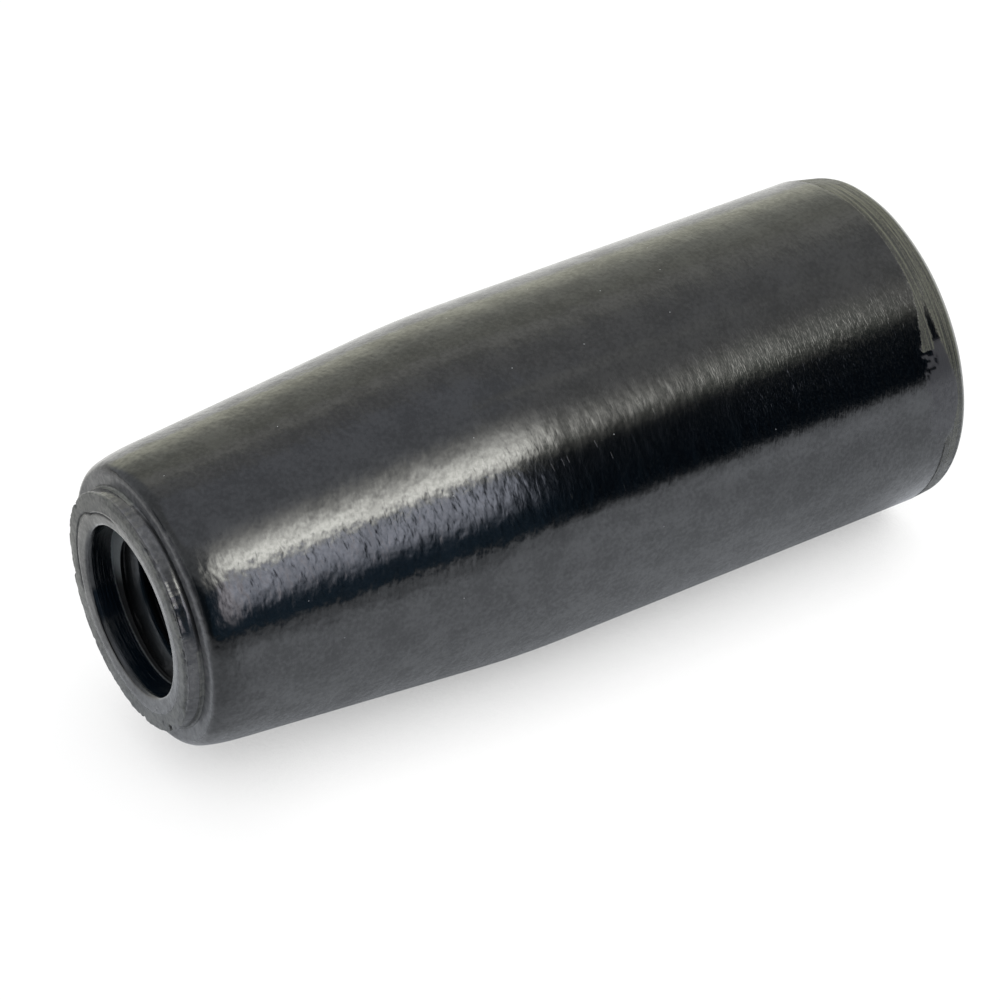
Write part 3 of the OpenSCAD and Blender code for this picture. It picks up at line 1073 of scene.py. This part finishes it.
fade = blend(tree, ramp(tree, off_centre, *FADE_NEAR), LEVEL_NEAR, fade)
fade = blend(tree, ramp(tree, spot["X"], *BEHIND), fade, 1.0)
by_mouth = times(tree, ramp(tree, spot["Z"], *COLLAR_Z), ramp(tree, spot["X"], *MOUTH_X))
by_rim = times(tree, ramp(tree, spot["Z"], *RIM_Z), ramp(tree, spot["X"], *RIM_X))
under_rim = times(tree, by_rim, ramp(tree, spot["X"], *RIM_FRONT))
beyond = times(tree, ramp(tree, spot["Z"], *BEYOND_Z), ramp(tree, spot["X"], *BEYOND_X))
notch = times(tree, ramp(tree, spot["Z"], *NOTCH_Z), ramp(tree, spot["X"], *NOTCH_X))
rim_level = calc(tree, "SUBTRACT", 1.0, weighted(tree, (by_rim, RIM_LOSS), (under_rim, RIM_FRONT_LOSS)))
fade = times(tree, fade, ramp(tree, spot["Z"], *PAST_COLLAR), blend(tree, by_mouth, 1.0, MOUTH_LEVEL),
             rim_level, blend(tree, beyond, 1.0, BEYOND_LEVEL), blend(tree, notch, 1.0, NOTCH_LEVEL))
print("nodes so far", len(tree.nodes))

# %% [markdown]
# Both kinds of brightness go into one Emission shader, over a very dark paper that catches hardly any light
# of its own. Seen from below the paper is transparent, so that the grip's underside can be looked at too.

# %% Put the floor's material together
PAPER, PAPER_MIRRORED, WHITE_LIGHT = (0.08, 0.08, 0.08, 1), (0.05, 0.05, 0.05, 1), (1, 1, 1, 1)
FRONT_TINT, BACK_TINT, CONTACT_MIRRORED = (0.9, 0.94, 1.0, 1), (1.0, 1.0, 0.97, 1), 0.45
mirror_tint = mix(tree, ramp(tree, spot["X"], *BEHIND_TINT), FRONT_TINT, BACK_TINT)
mirror_level = times(tree, mirrored, fade, wide_open, blend(tree, near_open, CONTACT_MIRRORED, 1.0))
paper = node(tree, "BsdfDiffuse", Color=mix(tree, mirrored, PAPER, PAPER_MIRRORED))
glow = node(tree, "Emission", Color=mix(tree, to_camera, mirror_tint, WHITE_LIGHT),
            Strength=calc(tree, "ADD", camera_level, mirror_level))
lit = filled(tree, "AddShader", None, 0, {0: paper.outputs[0], 1: glow.outputs[0]})
seen_from_below = times(tree, to_camera, here["Backfacing"])
clear = node(tree, "BsdfTransparent").outputs[0]
node(tree, "OutputMaterial", Surface=choose(tree, seen_from_below, lit, clear))
floor.data.materials.append(floor_look)
print("nodes in the floor", len(tree.nodes))

# %% [markdown]
# ## The room
# A glossy black thing shows nothing but its surroundings, so the studio is half of its look. It could be
# built from area lights and cards, but here it is painted onto the world, which needs no more objects and
# has no seams. Each direction is given as a height above the floor and a bearing round the grip: 0 degrees
# runs towards the large end, 180 out of the mouth, and -90 towards the viewer. First comes a soft bright
# sky with two faint strips.

# %% The room: sky
room = bpy.data.worlds.new("studio")
bpy.context.scene.world = room
room.use_nodes = True
tree = room.node_tree
tree.nodes.clear()
way = node(tree, "SeparateXYZ", Vector=node(tree, "TexCoord").outputs["Generated"]).outputs
height = calc(tree, "DEGREES", calc(tree, "ARCSINE", times(tree, way["Y"], -1.0)))
bearing = calc(tree, "DEGREES", calc(tree, "ARCTAN2", way["X"], times(tree, way["Z"], -1.0)))
turned_away = calc(tree, "ABSOLUTE", bearing)
WARM_SKY, PLAIN_SKY, COOL_SKY = (0.91, 0.92, 0.82, 1), (0.89, 0.9, 0.91, 1), (0.98, 1.02, 1.11, 1)
STRIP, SLIT = (1.15, 1.15, 1.09, 1), (1.16, 1.17, 1.15, 1)
LOW_SKY, SKY_AWAY = (1.25, 1.25, 1.05, 1), (0.68, 0.71, 0.74, 1)
STRIP_HEIGHT, SLIT_HEIGHT, SLIT_BEARING = (38, 44.5, 47.5, 51.5), (58, 64, 69, 73), (-20, -12, -7, 1)
sky = mix(tree, ramp(tree, height, start=46, end=56), WARM_SKY, PLAIN_SKY)
sky = mix(tree, ramp(tree, height, start=62, end=69), sky, COOL_SKY)
sky = mix(tree, window(tree, height, *STRIP_HEIGHT), sky, STRIP)
slit = times(tree, window(tree, bearing, *SLIT_BEARING), window(tree, height, *SLIT_HEIGHT))
sky = mix(tree, slit, sky, SLIT)
sky = mix(tree, ramp(tree, height, start=24, end=5), sky, LOW_SKY)
away = times(tree, ramp(tree, turned_away, start=88, end=108), ramp(tree, height, start=75, end=55))
sky = mix(tree, away, sky, SKY_AWAY)
print("nodes so far", len(tree.nodes))

# %% [markdown]
# A dark card stands on the viewer's side. It is what turns most of that side of the grip black, and it has
# three tones with soft passages between them. The way out of the mouth is dark too, which keeps the bore
# deep, and the far floor below the horizon is dark on the viewer's side and bright on the other.

# %% The room: dark card and far floor
CARD_BEARING, CARD_HEIGHT = (-158, -140, -48, -42), (43.5, 32)
CARD_DEEP, CARD_BLUE, CARD_AWAY = (0.003, 0.012, 0.024, 1), (0.09, 0.17, 0.26, 1), (0.05, 0.07, 0.09, 1)
MOUTH_DARK, FLOOR_DARK, FLOOR_PALE = (0.05, 0.06, 0.07, 1), (0.1, 0.12, 0.14, 1), (1.15, 1.15, 1.07, 1)
card = times(tree, window(tree, bearing, *CARD_BEARING), ramp(tree, height, *CARD_HEIGHT))
card_tone = mix(tree, ramp(tree, bearing, start=-60, end=-77), CARD_DEEP, CARD_BLUE)
card_tone = mix(tree, ramp(tree, bearing, start=-100, end=-120), card_tone, CARD_AWAY)
tone = mix(tree, card, sky, card_tone)
mouth_way = times(tree, ramp(tree, turned_away, start=142, end=158), ramp(tree, height, start=32, end=20))
far_floor = mix(tree, ramp(tree, bearing, start=-20, end=30), FLOOR_DARK, FLOOR_PALE)
below = ramp(tree, height, start=-1.2, end=-3.2)
print("nodes so far", len(tree.nodes))

# %% [markdown]
# Two lights give the two highlights that run along the grip. The lower one is a dim bluish panel in front
# of the card. The upper one is the lamp: bright, with a lower edge that is nearly sharp, fading upwards and
# towards the large end. Both lean, so their sides are measured along a slanted bearing.

# %% The room: panel and lamp
PANEL_BLUE, PANEL_WARM, LAMP = (3.6, 3.8, 4.4, 1), (4.5, 4.25, 4.5, 1), (13.2, 13.2, 12.3, 1)
PANEL_LEAN, PANEL_SHIFT, PANEL_BEARING = -0.106, 3.9, (-96, -82, -74, -66)
PANEL_FOOT, PANEL_TOP, PANEL_DROP, PANEL_DROP_BEARING = (10, 28.5), (42.5, 37.5), 6.0, (-79, -90)
LAMP_LEAN, LAMP_SHIFT, LAMP_END = -0.85, 40.0, (-44.5, -67.0)
LAMP_BEARING, LAMP_FOOT, LAMP_TOP, LAMP_TOP_POWER = (-103, -76, -30, -20), (38.3, 46.4), (88, 42), 4.0


def slanted(tree, lean, shift):
    """A bearing that changes with height, for lights that don't stand upright."""
    return calc(tree, "MULTIPLY_ADD", height, lean, calc(tree, "ADD", bearing, shift))


drop = ramp(tree, bearing, *PANEL_DROP_BEARING)
panel_height = calc(tree, "MULTIPLY_ADD", drop, PANEL_DROP, height)
panel = times(tree, window(tree, slanted(tree, PANEL_LEAN, PANEL_SHIFT), *PANEL_BEARING),
              ramp(tree, panel_height, *PANEL_FOOT), ramp(tree, height, *PANEL_TOP))
lamp_top = calc(tree, "POWER", ramp(tree, height, *LAMP_TOP), LAMP_TOP_POWER)
lamp_end = ramp(tree, slanted(tree, LAMP_LEAN, LAMP_SHIFT), *LAMP_END)
lamp = times(tree, window(tree, bearing, *LAMP_BEARING), ramp(tree, height, *LAMP_FOOT), lamp_top, lamp_end)
tone = mix(tree, panel, tone, mix(tree, ramp(tree, bearing, start=-78, end=-88), PANEL_BLUE, PANEL_WARM))
tone = mix(tree, lamp, tone, LAMP)
tone = mix(tree, mouth_way, tone, MOUTH_DARK)
tone = mix(tree, below, tone, far_floor)
print("nodes so far", len(tree.nodes))

# %% [markdown]
# The camera itself sees plain white behind the grip. The Light Path node tells which ray is asking: a
# camera ray gets white of strength 1, and every other ray gets the studio.

# %% The room: what the camera sees behind the grip
for_camera = node(tree, "Background", Color=WHITE_LIGHT, Strength=1.0).outputs[0]
for_object = node(tree, "Background", Color=tone, Strength=1.0).outputs[0]
is_camera = node(tree, "LightPath").outputs["Is Camera Ray"]
node(tree, "OutputWorld", Surface=choose(tree, is_camera, for_object, for_camera))
print("nodes in the room", len(tree.nodes))

# %% [markdown]
# ## The camera
# The camera stands where the photograph was taken from. Its turn, height and distance were fitted to the
# grip's outline. Upwards is away from the floor, which in this frame is along minus Y, so its three
# directions are worked out as vectors and put into a matrix. A long lens keeps the near end from swelling.

# %% Camera
VIEW_TURN, VIEW_HEIGHT = radians(58.094), radians(37.783)
VIEW_DISTANCE = 292.455
LENS, SENSOR, CLIP = 144, 36, 0.01
AWAY_FROM_FLOOR = Vector((0, -1, 0))
look_at = Vector((-0.781, 1.874, 33.144)) * MM
forward = Vector((cos(VIEW_HEIGHT) * sin(VIEW_TURN), sin(VIEW_HEIGHT), -cos(VIEW_HEIGHT) * cos(VIEW_TURN)))
right = forward.cross(AWAY_FROM_FLOOR).normalized()
up = right.cross(forward)
camera_data = bpy.data.cameras.new("camera")
camera_data.lens = LENS
camera_data.sensor_width = SENSOR
camera_data.clip_start = CLIP
camera = bpy.data.objects.new("camera", camera_data)
bpy.context.scene.collection.objects.link(camera)
directions = Matrix((right, up, -forward)).transposed().to_4x4()
camera.matrix_world = Matrix.Translation(look_at - forward * VIEW_DISTANCE * MM) @ directions
bpy.context.scene.camera = camera
bpy.context.scene.view_settings.view_transform = "Standard"
print("camera at", [round(c / MM, 1) for c in camera.matrix_world.translation], "mm")
